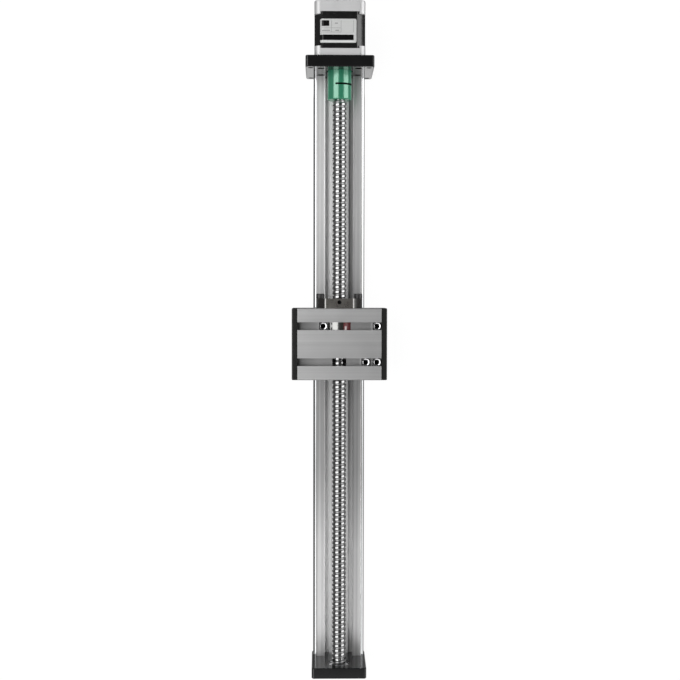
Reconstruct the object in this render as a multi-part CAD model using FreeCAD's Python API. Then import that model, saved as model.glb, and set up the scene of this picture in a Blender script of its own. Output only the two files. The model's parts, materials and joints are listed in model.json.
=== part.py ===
import FreeCAD, Part
import math
import os

# Ball screw linear module, millimetres.
# Origin: middle of the rail's underside. +Y runs along the rail to the motor, +Z is up.

# Rail section
rail_length = 500.0
rail_half_width = 19.4
rail_height = 16.0
channel_half_width = 12.0
land_half_width = 8.5
land_height = 7.0
gutter_height = 4.5
relief_inner = 4.0
relief_outer = 10.0
relief_depth = 1.0
edge_break = 0.5

# Hardened shafts held in the rail's sides
shaft_radius = 3.0
shaft_spacing = 38.0
shaft_height = 11.0
seat_clearance = 0.02

# Holes in the rail
base_hole_radius = 2.1
base_hole_depth = 7.0
base_hole_spacing_x = 30.0
base_hole_pitch_y = 200.0
web_screw_x = 5.0
end_screw_height = 4.2
end_screw_radius = 2.0
end_screw_length = 16.0

# Screw line
screw_height = 36.0
screw_radius = 6.0
journal_radius = 4.0

# Plates
motor_plate_thickness = 9.5
end_plate_thickness = 9.0
plate_corner_radius = 2.0
plate_chamfer = 0.6
motor_plate_width = 56.5
motor_plate_height = 60.0
motor_plate_bore = 11.1
corner_hole_inset_x = 4.25
corner_hole_inset_z = 6.0
corner_hole_radius = 2.25
end_plate_width = 46.0
end_plate_height = 51.5
counterbore_clearance = 0.3
counterbore_floor = 4.6
tap_runout = 1.0
key_flats_per_radius = 1.6

# Tail bearing
bearing_radius = 11.0
bearing_width = 7.0
bearing_lip = 0.8
bearing_lip_radius = 9.3
outer_ring_inner_radius = 9.5
inner_ring_outer_radius = 5.8
shield_thickness = 0.3
circlip_thickness = 0.8

# Motor
motor_size = 42.0
motor_corner_radius = 4.8
motor_hole_spacing = 31.0
motor_screw_radius = 1.5
front_cap_length = 6.0
stator_length = 30.0
rear_cap_length = 9.0
stator_size = 41.8
stator_turned_radius = 25.2
corner_lug_depth = 2.0
corner_lug_size = 5.0
pilot_radius = 11.0
pilot_height = 2.0
motor_shaft_radius = 2.5
motor_shaft_reach = 20.0
stator_bore = 11.2
pole_count = 8
shoe_radius = 12.8
winding_radius = 17.6
pole_neck = 4.0
slot_mouth_width = 1.6
end_turn_height = 2.2
cap_cavity_radius = 18.2
cap_cavity_depth = 2.5
air_gap = 0.3
rotor_teeth = 50
tooth_depth = 0.6
tooth_share = 0.5
flank_share = 0.1
magnet_length = 2.0
motor_bearing_radius = 8.0
motor_bearing_width = 5.0
motor_bearing_outer_wall = 1.5
motor_bearing_inner_wall = 1.6
case_screw_head = 2.0
connector_width = 15.0
connector_length = 6.6
connector_depth = 5.4
connector_proud = 1.5
connector_wall = 0.8
pin_count = 6
pin_pitch = 2.0
pin_size = 0.5

# Coupling
coupling_radius = 10.0
coupling_length = 25.0
coupling_in_plate = 1.3
coupling_chamfer = 0.6
slit_width = 1.2
slit_web = 10.8
slit_web_angle = -55.0
shaft_gap = 1.5
grub_radius = 2.0
grub_length = 5.0
grub_inset = 5.0
grub_angles = (150.0, 240.0)

# Table of the carriage, an extrusion that lies across the rail
table_centre = 22.5
table_width = 70.0
table_length = 60.0
table_thickness = 30.0
slot_pitch = 30.0
slot_mouth = 6.5
slot_lip = 2.0
slot_cavity = 11.0
slot_depth = 7.5
core_pitch = 22.0
core_radius = 2.6
core_below_axis = 6.0
cap_thickness = 4.7
cap_rounding = 1.0
peg_length = 6.0
screw_bore_radius = 9.5

# Ball nut
nut_radius = 12.0
nut_length = 40.0
flange_radius = 19.5
flange_thickness = 8.0
flange_height = 30.0
flange_screw_circle = 32.0
flange_screw_radius = 2.0
flange_screw_length = 16.0
nut_running_gap = 0.3
wiper_radius = 8.5
wiper_thickness = 1.5
oil_hole_radius = 1.65
oil_hole_inset = 3.2
return_depth = 2.0
return_length = 22.0
return_start_angle = 8.0
return_end_angle = 76.0
part_clearance = 0.05
bore_clearance = 0.1

# Rollers
roller_radius = 8.5
roller_width = 8.0
roller_offset = 10.5
roller_spread = 40.0
roller_bore = 2.5
roller_inner_wall = 1.5
roller_race = 5.4
seal_thickness = 0.5
groove_clearance = 0.08
axle_thread_length = 10.0
axle_tail = 3.1
collar_radius = 4.0
hex_collar_flats = 8.0
eccentricity = 0.5
lock_nut_flats = 8.0
lock_nut_height = 2.7

# Nuts for the slots of the table
slot_nut_length = 7.0
slot_nut_width = 9.8
slot_nut_base = 3.5
slot_nut_collar_radius = 3.1
slot_nut_collar = 3.0
slot_nut_hole = 2.1
slot_nut_from_cap = 0.3
slot_nut_from_ball_nut = 1.6
slot_nut_spacing = 9.3

# Places that follow from the sizes
motor_face = rail_length / 2
tail_face = -rail_length / 2
plate_back = motor_face + motor_plate_thickness
tail_back = tail_face - end_plate_thickness
shaft_x = shaft_spacing / 2
wall_hole_x = base_hole_spacing_x / 2
stator_start = plate_back + front_cap_length
stator_end = stator_start + stator_length
motor_end = stator_end + rear_cap_length
lug_inner = motor_size / 2 - corner_lug_size
coupling_start = motor_face + coupling_in_plate
coupling_end = coupling_start - coupling_length
coupling_middle = (coupling_start + coupling_end) / 2
motor_shaft_tip = plate_back - motor_shaft_reach
journal_tip = motor_shaft_tip - shaft_gap
tail_bearing_end = tail_face - bearing_lip
tail_bearing_start = tail_bearing_end - bearing_width
table_bottom = screw_height - table_thickness / 2
table_top = screw_height + table_thickness / 2
table_end = table_centre + table_length / 2
table_start = table_centre - table_length / 2
slot_floor = table_top - slot_depth
nut_end = table_end + flange_thickness
nut_start = nut_end - nut_length
nut_bore = screw_radius + nut_running_gap
roller_x = shaft_x + roller_offset
roller_low = shaft_height - roller_width / 2
roller_high = shaft_height + roller_width / 2
outer_nut_x = table_width / 2 - slot_nut_from_cap - slot_nut_length / 2
slot_nuts = {
    "slot_nut_rear_left": (1, -nut_radius - slot_nut_from_ball_nut),
    "slot_nut_rear_right": (1, outer_nut_x),
    "slot_nut_front_inner": (-1, outer_nut_x - slot_nut_spacing),
    "slot_nut_front_outer": (-1, outer_nut_x),
}


def vector(x, y, z):
    return FreeCAD.Vector(x, y, z)


along_x = vector(1, 0, 0)
along_y = vector(0, 1, 0)
along_z = vector(0, 0, 1)
screw_line = vector(0, 0, screw_height)


def block(x_range, y_range, z_range):
    sides = [high - low for low, high in (x_range, y_range, z_range)]
    return Part.makeBox(*sides, vector(x_range[0], y_range[0], z_range[0]))


def rod_x(radius, start, end, y, z):
    return Part.makeCylinder(radius, end - start, vector(start, y, z), along_x)


def rod_y(radius, start, end, x=0.0, z=screw_height):
    return Part.makeCylinder(radius, end - start, vector(x, start, z), along_y)


def rod_z(radius, start, end, x, y):
    return Part.makeCylinder(radius, end - start, vector(x, y, start), along_z)


def ring_y(outer, inner, start, end):
    return rod_y(outer, start, end).cut(rod_y(inner, start, end))


def face_of(corners):
    return Part.Face(Part.makePolygon(corners + [corners[0]]))


def prism_y(outline, start, end):
    corners = [vector(x, start, z) for x, z in outline]
    return face_of(corners).extrude(vector(0, end - start, 0))


def prism_x(outline, start, end):
    corners = [vector(start, y, z) for y, z in outline]
    return face_of(corners).extrude(vector(end - start, 0, 0))


def hexagon(flats, height):
    reach = flats / math.sqrt(3)
    corners = [vector(reach * math.cos(turn), reach * math.sin(turn), 0)
               for turn in (math.radians(60 * side) for side in range(6))]
    return face_of(corners).extrude(vector(0, 0, height))


def placed(shape, point, direction):
    moved = shape.copy()
    moved.Placement = FreeCAD.Placement(point, FreeCAD.Rotation(along_z, direction))
    return moved


def mirrored(shape):
    return shape.mirror(vector(0, 0, 0), along_x)


def turned_about_screw(shape, angle):
    moved = shape.copy()
    moved.rotate(screw_line, along_y, angle)
    return moved


def cap_screw_head(radius):
    """Head radius of a socket screw: its diameter is 1.5 threads plus 1."""
    return (3 * radius + 1) / 2


def cap_screw(radius, length, seat, direction, head_height=None):
    """Socket screw: its head rests on seat, its shank runs along direction."""
    head_height = head_height or 2 * radius
    head = Part.makeCylinder(cap_screw_head(radius), head_height)
    shank = Part.makeCylinder(radius, length, vector(0, 0, -length))
    key = hexagon(key_flats_per_radius * radius, head_height)
    key.translate(vector(0, 0, head_height / 2))
    return placed(head.fuse(shank).removeSplitter().cut(key), seat, direction * -1)


def save(name, *shapes):
    solids = [solid for shape in shapes for solid in shape.Solids]
    Part.makeCompound(solids).exportStep(f"parts/{name}.step")


def rail_end_screws():
    """Places of the screws that hold a plate to the end of the rail."""
    return [(side * x, end_screw_height) for side in (-1, 1) for x in (web_screw_x, wall_hole_x)]


def make_rail():
    half = [
        (relief_inner, 0),
        (relief_inner, relief_depth),
        (relief_outer, relief_depth),
        (relief_outer, 0),
        (rail_half_width - edge_break, 0),
        (rail_half_width, edge_break),
        (rail_half_width, rail_height - edge_break),
        (rail_half_width - edge_break, rail_height),
        (channel_half_width + edge_break, rail_height),
        (channel_half_width, rail_height - edge_break),
        (channel_half_width, gutter_height),
        (land_half_width, gutter_height),
        (land_half_width, land_height - edge_break),
        (land_half_width - edge_break, land_height),
    ]
    left = [(-x, z) for x, z in reversed(half)]
    rail = prism_y(half + left, tail_face, motor_face)
    cuts = []
    for side in (-1, 1):
        seat = shaft_radius + seat_clearance
        cuts.append(rod_y(seat, tail_face, motor_face, side * shaft_x, shaft_height))
        for row in (-1, 0, 1):
            y = row * base_hole_pitch_y
            cuts.append(rod_z(base_hole_radius, 0, base_hole_depth, side * wall_hole_x, y))
    tap = end_screw_radius + part_clearance
    depth = end_screw_length - counterbore_floor + tap_runout
    for x, z in rail_end_screws():
        cuts.append(rod_y(tap, motor_face - depth, motor_face, x, z))
        cuts.append(rod_y(tap, tail_face, tail_face + depth, x, z))
    save("rail_profile", rail.cut(cuts))
    for side, name in ((-1, "rail_shaft_left"), (1, "rail_shaft_right")):
        save(name, rod_y(shaft_radius, tail_face, motor_face, side * shaft_x, shaft_height))


def rounded_block(radius, x_range, y_range, z_range):
    """A block whose four edges along the rail are rounded."""
    whole = block(x_range, y_range, z_range)
    length = y_range[1] - y_range[0]
    return whole.makeFillet(radius, [edge for edge in whole.Edges if edge.BoundBox.YLength > length / 2])


def plate_blank(width, height, start, end):
    plate = rounded_block(plate_corner_radius, (-width / 2, width / 2), (start, end), (0, height))
    rims = [edge for edge in plate.Edges if edge.BoundBox.YLength < (end - start) / 2]
    return plate.makeChamfer(plate_chamfer, rims)


def rail_screw_cuts(outer, inner):
    """Clearance holes with counterbores that open on the plate's outer face."""
    out = 1 if outer > inner else -1
    floor = inner + out * counterbore_floor
    head = cap_screw_head(end_screw_radius) + counterbore_clearance
    cuts = []
    for x, z in rail_end_screws():
        through = (min(outer, inner), max(outer, inner))
        cuts.append(rod_y(end_screw_radius + counterbore_clearance, *through, x, z))
        cuts.append(rod_y(head, min(floor, outer), max(floor, outer), x, z))
    return cuts


def make_motor_plate():
    plate = plate_blank(motor_plate_width, motor_plate_height, motor_face, plate_back)
    cuts = [rod_y(motor_plate_bore, motor_face, plate_back)] + rail_screw_cuts(plate_back, motor_face)
    for x_side in (-1, 1):
        x = x_side * (motor_plate_width / 2 - corner_hole_inset_x)
        for z in (corner_hole_inset_z, motor_plate_height - corner_hole_inset_z):
            cuts.append(rod_y(corner_hole_radius, motor_face, plate_back, x, z))
        for z_side in (-1, 1):
            x, z = x_side * motor_hole_spacing / 2, screw_height + z_side * motor_hole_spacing / 2
            head = cap_screw_head(motor_screw_radius) + counterbore_clearance
            cuts.append(rod_y(motor_screw_radius + counterbore_clearance, motor_face, plate_back, x, z))
            cuts.append(rod_y(head, motor_face, motor_face + counterbore_floor, x, z))
    save("motor_plate", plate.cut(cuts))
    seat = motor_face + counterbore_floor
    save("motor_plate_screws", *[
        cap_screw(end_screw_radius, end_screw_length, vector(x, seat, z), along_y * -1)
        for x, z in rail_end_screws()])


def make_end_plate():
    plate = plate_blank(end_plate_width, end_plate_height, tail_back, tail_face)
    cuts = rail_screw_cuts(tail_back, tail_face)
    cuts.append(rod_y(bearing_lip_radius, tail_back, tail_face))
    cuts.append(rod_y(bearing_radius + part_clearance, tail_back, tail_bearing_end))
    groove = bearing_radius + edge_break
    cuts.append(rod_y(groove, tail_bearing_start - circlip_thickness, tail_bearing_start))
    save("end_plate", plate.cut(cuts))
    seat = tail_face - counterbore_floor
    save("end_plate_screws", *[
        cap_screw(end_screw_radius, end_screw_length, vector(x, seat, z), along_y)
        for x, z in rail_end_screws()])


def make_tail_bearing():
    start, end = tail_bearing_start, tail_bearing_end
    bore = journal_radius + seat_clearance
    save("tail_bearing_outer_ring", ring_y(bearing_radius, outer_ring_inner_radius, start, end))
    save("tail_bearing_inner_ring", ring_y(inner_ring_outer_radius, bore, start, end))
    shield_inner = inner_ring_outer_radius + nut_running_gap
    shield_outer = outer_ring_inner_radius - seat_clearance
    save("tail_bearing_shields",
         ring_y(shield_outer, shield_inner, start + shield_thickness, start + 2 * shield_thickness),
         ring_y(shield_outer, shield_inner, end - 2 * shield_thickness, end - shield_thickness))
    clip = (start - circlip_thickness, start)
    outer = bearing_radius + edge_break - part_clearance
    inner = journal_radius - edge_break + part_clearance
    save("bearing_circlip", open_ring(outer, outer_ring_inner_radius, *clip, 0))
    save("screw_circlip", open_ring(inner_ring_outer_radius, inner, *clip, 180))


def open_ring(outer, inner, start, end, angle):
    """Retaining ring with a gap, turned about the screw line by angle."""
    gap = block((-inner / 3, inner / 3), (start, end), (screw_height, screw_height + 2 * outer))
    return ring_y(outer, inner, start, end).cut(turned_about_screw(gap, angle))


def cap_block(start, end):
    half = motor_size / 2
    return rounded_block(motor_corner_radius, (-half, half), (start, end),
                         (screw_height - half, screw_height + half))


def stator_block(start, end):
    """A square stack whose corners are turned off to a circle."""
    half = stator_size / 2
    square = block((-half, half), (start, end), (screw_height - half, screw_height + half))
    return square.common(rod_y(stator_turned_radius, start, end))


def corner_lugs(make_blank, start, end, inner):
    """The four corners of a motor block, where the caps reach over the stator."""
    half = motor_size / 2
    blank = make_blank(start, end)
    across = block((-inner, inner), (start, end), (screw_height - half, screw_height + half))
    upright = block((-half, half), (start, end), (screw_height - inner, screw_height + inner))
    return blank.cut([across, upright])


def motor_corners():
    offset = motor_hole_spacing / 2
    return [(x * offset, screw_height + z * offset) for x in (-1, 1) for z in (-1, 1)]


def make_motor_caps():
    front = cap_block(plate_back, stator_start)
    front = front.fuse([corner_lugs(cap_block, stator_start, stator_start + corner_lug_depth, lug_inner),
                        rod_y(pilot_radius, plate_back - pilot_height, plate_back)]).removeSplitter()
    cavity_start = stator_start - cap_cavity_depth
    bearing_start = cavity_start - motor_bearing_width
    cuts = [rod_y(cap_cavity_radius, cavity_start, stator_start),
            rod_y(motor_bearing_radius + seat_clearance, bearing_start, cavity_start),
            rod_y(motor_shaft_radius + 2 * air_gap, plate_back - pilot_height, bearing_start)]
    tap = motor_screw_radius + part_clearance
    for x, z in motor_corners():
        cuts.append(rod_y(tap, plate_back, stator_start + corner_lug_depth, x, z))
    save("motor_front_cap", front.cut(cuts))

    rear = cap_block(stator_end, motor_end)
    back_edges = [edge for edge in rear.Edges if edge.BoundBox.YMin > motor_end - edge_break]
    rear = rear.makeChamfer(edge_break, back_edges)
    rear = rear.fuse(corner_lugs(cap_block, stator_end - corner_lug_depth, stator_end, lug_inner))
    rear = rear.removeSplitter()
    cavity_end = stator_end + cap_cavity_depth
    cuts = [rod_y(cap_cavity_radius, stator_end, cavity_end),
            rod_y(motor_bearing_radius + seat_clearance, cavity_end, cavity_end + motor_bearing_width)]
    head = cap_screw_head(motor_screw_radius) + counterbore_clearance
    for x, z in motor_corners():
        cuts.append(rod_y(tap, stator_end - corner_lug_depth, motor_end, x, z))
        cuts.append(rod_y(head, motor_end - case_screw_head, motor_end, x, z))
    cuts.append(connector_block(part_clearance))
    save("motor_rear_cap", rear.cut(cuts))


def connector_block(margin):
    middle = (stator_end + motor_end) / 2
    bottom = screw_height - motor_size / 2 - connector_proud
    top = bottom + connector_depth + margin
    half = connector_width / 2 + margin
    reach = connector_length / 2 + margin
    return block((-half, half), (middle - reach, middle + reach), (bottom, top))


def make_connector():
    middle = (stator_end + motor_end) / 2
    bottom = screw_height - motor_size / 2 - connector_proud
    half = connector_width / 2 - connector_wall
    reach = connector_length / 2 - connector_wall
    floor = bottom + connector_depth - connector_wall
    cavity = block((-half, half), (middle - reach, middle + reach), (bottom, floor))
    key = block((-half / 2, half / 2), (middle + reach, middle + connector_length), (bottom, floor))
    save("motor_connector", connector_block(0).cut([cavity, key]))
    pins = []
    for number in range(pin_count):
        x = (number - (pin_count - 1) / 2) * pin_pitch
        pins.append(block((x - pin_size / 2, x + pin_size / 2),
                          (middle - pin_size / 2, middle + pin_size / 2),
                          (bottom + 2 * connector_wall, floor)))
    save("motor_connector_pins", *pins)


def make_stator():
    stack = stator_block(stator_start, stator_end)
    inner = lug_inner - part_clearance
    lugs = [corner_lugs(stator_block, stator_start, stator_start + corner_lug_depth, inner),
            corner_lugs(stator_block, stator_end - corner_lug_depth, stator_end, inner)]
    winding = ring_y(winding_radius, shoe_radius, stator_start, stator_end)
    poles = []
    mouths = []
    step = 360.0 / pole_count
    for number in range(pole_count):
        neck = block((-pole_neck / 2, pole_neck / 2), (stator_start, stator_end),
                     (screw_height + stator_bore, screw_height + winding_radius + 1))
        mouth = block((-slot_mouth_width / 2, slot_mouth_width / 2), (stator_start, stator_end),
                      (screw_height + stator_bore / 2, screw_height + shoe_radius + edge_break))
        poles.append(turned_about_screw(neck, number * step))
        mouths.append(turned_about_screw(mouth, (number + 0.5) * step))
    bore = rod_y(stator_bore, stator_start, stator_end)
    holes = [rod_y(motor_screw_radius + part_clearance, stator_start, stator_end, x, z)
             for x, z in motor_corners()]
    save("motor_stator", stack.cut(lugs + [winding.cut(poles), bore] + mouths + holes))


def make_coils():
    inner = shoe_radius + air_gap
    outer = winding_radius - 2 * air_gap
    wire = (inner * math.tan(math.pi / pole_count) - pole_neck / 2) / 2
    neck = pole_neck / 2 + part_clearance
    around = neck + wire
    span = (stator_start - end_turn_height, stator_end + end_turn_height)
    radial = (screw_height + inner, screw_height + outer)
    core = (stator_start - part_clearance, stator_end + part_clearance)
    coil = block((-around, around), span, radial).cut(block((-neck, neck), core, radial))
    step = 360.0 / pole_count
    save("motor_coils", *[turned_about_screw(coil, number * step) for number in range(pole_count)])


def toothed_cup(start, end, turn):
    """Half of the rotor: a disc with square teeth round its rim."""
    top = stator_bore - air_gap
    root = top - tooth_depth
    pitch = 2 * math.pi / rotor_teeth
    corners = ((0.0, root), (flank_share, top), (tooth_share - flank_share, top), (tooth_share, root))
    outline = []
    for tooth in range(rotor_teeth):
        for share, radius in corners:
            angle = (tooth + share + turn) * pitch
            outline.append((radius * math.sin(angle), screw_height + radius * math.cos(angle)))
    cup = prism_y(outline, start, end)
    return cup.cut(rod_y(motor_shaft_radius + seat_clearance, start, end))


def make_rotor():
    start = stator_start + edge_break
    end = stator_end - edge_break
    middle = (start + end) / 2
    split = magnet_length / 2
    save("rotor_front_cup", toothed_cup(start, middle - split, 0.0))
    save("rotor_rear_cup", toothed_cup(middle + split, end, 0.5))
    bore = motor_shaft_radius + seat_clearance
    magnet = ring_y(stator_bore - 3 * tooth_depth, bore, middle - split, middle + split)
    save("rotor_magnet", magnet)
    save("motor_shaft", rod_y(motor_shaft_radius, motor_shaft_tip,
                              stator_end + cap_cavity_depth + motor_bearing_width - part_clearance))


def make_motor_bearings():
    ends = (stator_start - cap_cavity_depth - motor_bearing_width, stator_end + cap_cavity_depth)
    outer_wall = motor_bearing_radius - motor_bearing_outer_wall
    bore = motor_shaft_radius + seat_clearance
    save("motor_bearing_outer_rings", *[
        ring_y(motor_bearing_radius, outer_wall, start, start + motor_bearing_width) for start in ends])
    inner_wall = bore + motor_bearing_inner_wall
    save("motor_bearing_inner_rings", *[
        ring_y(inner_wall, bore, start, start + motor_bearing_width) for start in ends])


def make_motor_screws():
    seat = motor_face + counterbore_floor
    mount_length = plate_back - seat + front_cap_length / 2
    save("motor_mount_screws", *[
        cap_screw(motor_screw_radius, mount_length, vector(x, seat, z), along_y)
        for x, z in motor_corners()])
    seat = motor_end - case_screw_head
    case_length = seat - plate_back - front_cap_length / 2 - edge_break
    save("motor_case_screws", *[
        cap_screw(motor_screw_radius, case_length, vector(x, seat, z), along_y * -1, case_screw_head)
        for x, z in motor_corners()])


def make_coupling():
    body = rod_y(coupling_radius, coupling_end, coupling_start)
    body = body.makeChamfer(coupling_chamfer, [edge for edge in body.Edges if edge.Closed])
    slit = (coupling_middle - slit_width / 2, coupling_middle + slit_width / 2)
    disc = rod_y(2 * coupling_radius, *slit)
    web = block((-slit_web / 2, slit_web / 2), slit,
                (screw_height - 2 * coupling_radius, screw_height + 2 * coupling_radius))
    split = coupling_middle - slit_width / 2
    cuts = [disc.cut(turned_about_screw(web, slit_web_angle)),
            rod_y(motor_shaft_radius + seat_clearance, split, coupling_start),
            rod_y(journal_radius + seat_clearance, coupling_end, split)]
    grubs = []
    grub_rows = ((coupling_start - grub_inset, motor_shaft_radius),
                 (coupling_end + grub_inset, journal_radius))
    for y, shaft in grub_rows:
        for angle in grub_angles:
            foot = screw_height + shaft
            hole = rod_z(grub_radius + part_clearance, foot, screw_height + coupling_radius, 0, y)
            cuts.append(turned_about_screw(hole, angle))
            foot += part_clearance
            key = hexagon(grub_radius, grub_length / 2)
            key.translate(vector(0, y, foot + grub_length / 2))
            grub = rod_z(grub_radius, foot, foot + grub_length, 0, y).cut(key)
            grubs.append(turned_about_screw(grub, angle))
    save("shaft_coupling", body.cut(cuts))
    save("coupling_grub_screws", *grubs)


def make_ball_screw():
    thread = rod_y(screw_radius, tail_bearing_end, coupling_end - edge_break)
    thread = thread.makeChamfer(edge_break, [edge for edge in thread.Edges if edge.Closed])
    drive_end = rod_y(journal_radius, coupling_end - edge_break, journal_tip)
    tail_end = rod_y(journal_radius, tail_back, tail_bearing_end)
    groove = ring_y(journal_radius, journal_radius - edge_break, tail_bearing_start - circlip_thickness,
                    tail_bearing_start)
    save("ball_screw", thread.fuse([drive_end, tail_end]).removeSplitter().cut(groove))


def flange_holes():
    """Six holes on the flange's circle, two of them level with the screw."""
    radius = flange_screw_circle / 2
    places = []
    for angle in (0, 45, 135, 180, 225, 315):
        turn = math.radians(angle)
        places.append((radius * math.cos(turn), screw_height + radius * math.sin(turn)))
    return places


def return_cover(depth, length, margin):
    """Curved cover of the ball return, let into the nut's side."""
    middle = (table_end + nut_start) / 2
    start = middle - length / 2
    end = middle + length / 2
    band = ring_y(nut_radius, nut_radius - depth, start, end)
    reach = 2 * nut_radius
    low = math.radians(return_start_angle) - margin / nut_radius
    high = math.radians(return_end_angle) + margin / nut_radius
    wedge = [(0, screw_height),
             (reach * math.sin(low), screw_height + reach * math.cos(low)),
             (reach * math.sin(high), screw_height + reach * math.cos(high))]
    return band.common(prism_y(wedge, start, end))


def make_ball_nut():
    body = rod_y(nut_radius, nut_start, table_end)
    flange = rod_y(flange_radius, table_end, nut_end)
    flats = block((-flange_radius, flange_radius), (table_end, nut_end),
                  (screw_height - flange_height / 2, screw_height + flange_height / 2))
    nut = body.fuse(flange.common(flats)).removeSplitter()
    cuts = [rod_y(nut_bore, nut_start, nut_end),
            rod_y(wiper_radius + part_clearance, nut_start, nut_start + wiper_thickness),
            rod_y(wiper_radius + part_clearance, nut_end - wiper_thickness, nut_end),
            return_cover(return_depth, return_length, part_clearance)]
    for x, z in flange_holes():
        cuts.append(rod_y(flange_screw_radius + counterbore_clearance, table_end, nut_end, x, z))
    oil_y = nut_end - oil_hole_inset
    cuts.append(rod_z(oil_hole_radius, screw_height, screw_height + flange_height, 0, oil_y))
    save("ball_nut", nut.cut(cuts))
    save("ball_return_cover",
         return_cover(return_depth - part_clearance, return_length - 2 * part_clearance, 0))
    save("nut_wipers",
         ring_y(wiper_radius, nut_bore, nut_start, nut_start + wiper_thickness),
         ring_y(wiper_radius, nut_bore, nut_end - wiper_thickness, nut_end))
    save("nut_flange_screws", *[
        cap_screw(flange_screw_radius, flange_screw_length,
                  vector(side * flange_screw_circle / 2, nut_end, screw_height), along_y * -1)
        for side in (-1, 1)])


def roller_places():
    places = []
    for x_side, side in ((-1, "left"), (1, "right")):
        for y_side, end in ((1, "rear"), (-1, "front")):
            places.append((f"roller_{end}_{side}", x_side, table_centre + y_side * roller_spread / 2))
    return places


def slot_section(centre):
    """Cross-section of one slot of the table, mouth, lips and floor."""
    mouth = slot_mouth / 2
    wide = slot_cavity / 2
    lip = table_top - slot_lip
    floor = slot_floor + edge_break
    half = [(mouth, table_top), (mouth, lip), (wide, lip), (wide, floor), (wide - edge_break, slot_floor)]
    return [(centre + y, z) for y, z in half] + [(centre - y, z) for y, z in reversed(half)]


def make_table():
    half = table_width / 2
    table = block((-half, half), (table_start, table_end), (table_bottom, table_top))
    long_edges = [edge for edge in table.Edges if edge.BoundBox.XLength > table_width / 2]
    table = table.makeChamfer(edge_break, long_edges)
    cuts = [rod_y(nut_radius + bore_clearance, nut_start - edge_break, table_end),
            rod_y(screw_bore_radius, table_start, table_end)]
    for side in (-1, 1):
        cuts.append(prism_x(slot_section(table_centre + side * slot_pitch / 2), -half, half))
        core_y = table_centre + side * core_pitch / 2
        cuts.append(rod_x(core_radius, -half, half, core_y, screw_height - core_below_axis))
        depth = flange_screw_length - flange_thickness + tap_runout
        cuts.append(rod_y(flange_screw_radius + part_clearance, table_end - depth, table_end,
                          side * flange_screw_circle / 2))
    save("carriage_table", table.cut(cuts + axle_holes()))
    for side, name in ((-1, "table_cap_left"), (1, "table_cap_right")):
        save(name, table_cap(half) if side > 0 else mirrored(table_cap(half)))


def table_cap(half):
    cap = block((half, half + cap_thickness), (table_start, table_end), (table_bottom, table_top))
    outer = [edge for edge in cap.Edges if edge.BoundBox.XMax > half + cap_thickness / 2]
    cap = cap.makeFillet(cap_rounding, outer)
    pegs = []
    for side in (-1, 1):
        y = table_centre + side * core_pitch / 2
        z = screw_height - core_below_axis
        pegs.append(rod_x(core_radius - part_clearance, half - peg_length, half, y, z))
    return cap.fuse(pegs).cut(axle_holes())


def axle_x(side):
    """Where an axle's thread enters the table: the right-hand ones are eccentric."""
    return side * roller_x + (eccentricity if side > 0 else 0.0)


def axle_holes():
    """Tapped holes of the axles, which also clear the caps of a narrow table."""
    end = table_bottom + axle_thread_length + tap_runout
    return [rod_z(roller_bore + part_clearance, table_bottom, end, axle_x(side), y)
            for name, side, y in roller_places()]


def make_axles():
    fixed, adjustable, nuts = [], [], []
    for name, side, y in roller_places():
        x = side * roller_x
        low = roller_low - axle_tail
        pin = rod_z(roller_bore - seat_clearance, low, roller_high, x, y)
        thread = rod_z(roller_bore, table_bottom, table_bottom + axle_thread_length, axle_x(side), y)
        if side < 0:
            collar = rod_z(collar_radius, roller_high, table_bottom, x, y)
            fixed.append(pin.fuse([collar, thread]).removeSplitter())
        else:
            collar = hexagon(hex_collar_flats, table_bottom - roller_high)
            collar.translate(vector(x, y, roller_high))
            adjustable.append(pin.fuse([collar, thread]).removeSplitter())
        nut = hexagon(lock_nut_flats, lock_nut_height)
        nut.translate(vector(x, y, roller_low - lock_nut_height))
        nuts.append(nut.cut(rod_z(roller_bore, low, roller_low, x, y)))
    save("roller_axles_fixed", *fixed)
    save("roller_axles_eccentric", *adjustable)
    save("roller_lock_nuts", *nuts)


def make_rollers():
    inner_rings = []
    inner_wall = roller_bore + roller_inner_wall
    for name, side, y in roller_places():
        x = side * roller_x
        groove = Part.makeTorus(roller_offset, shaft_radius + groove_clearance,
                                vector(x, y, shaft_height), along_z)
        outer = rod_z(roller_radius, roller_low, roller_high, x, y)
        outer = outer.makeChamfer(edge_break, [edge for edge in outer.Edges if edge.Closed])
        save(name, outer.cut([groove, rod_z(roller_race, roller_low, roller_high, x, y)]))
        seal = rod_z(roller_race - seat_clearance, 0, seal_thickness, x, y)
        seal = seal.cut(rod_z(inner_wall + nut_running_gap, 0, seal_thickness, x, y))
        seals = []
        for z in (roller_low + edge_break, roller_high - edge_break - seal_thickness):
            moved = seal.copy()
            moved.translate(vector(0, 0, z))
            seals.append(moved)
        save(f"{name}_seals", *seals)
        ring = rod_z(inner_wall, roller_low, roller_high, x, y)
        inner_rings.append(ring.cut(rod_z(roller_bore, roller_low, roller_high, x, y)))
    save("roller_inner_rings", *inner_rings)


def make_slot_nuts():
    for name, (side, x) in slot_nuts.items():
        y = table_centre + side * slot_pitch / 2
        low = slot_floor + part_clearance
        top = low + slot_nut_base
        half = slot_nut_length / 2
        base = block((x - half, x + half), (y - slot_nut_width / 2, y + slot_nut_width / 2), (low, top))
        collar = rod_z(slot_nut_collar_radius, top, top + slot_nut_collar, x, y)
        hole = rod_z(slot_nut_hole, low, top + slot_nut_collar, x, y)
        save(name, base.fuse(collar).cut(hole))


os.makedirs("parts", exist_ok=True)
make_rail()
make_motor_plate()
make_end_plate()
make_tail_bearing()
make_motor_caps()
make_connector()
make_stator()
make_coils()
make_rotor()
make_motor_bearings()
make_motor_screws()
make_coupling()
make_ball_screw()
make_ball_nut()
make_table()
make_axles()
make_rollers()
make_slot_nuts()
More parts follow.
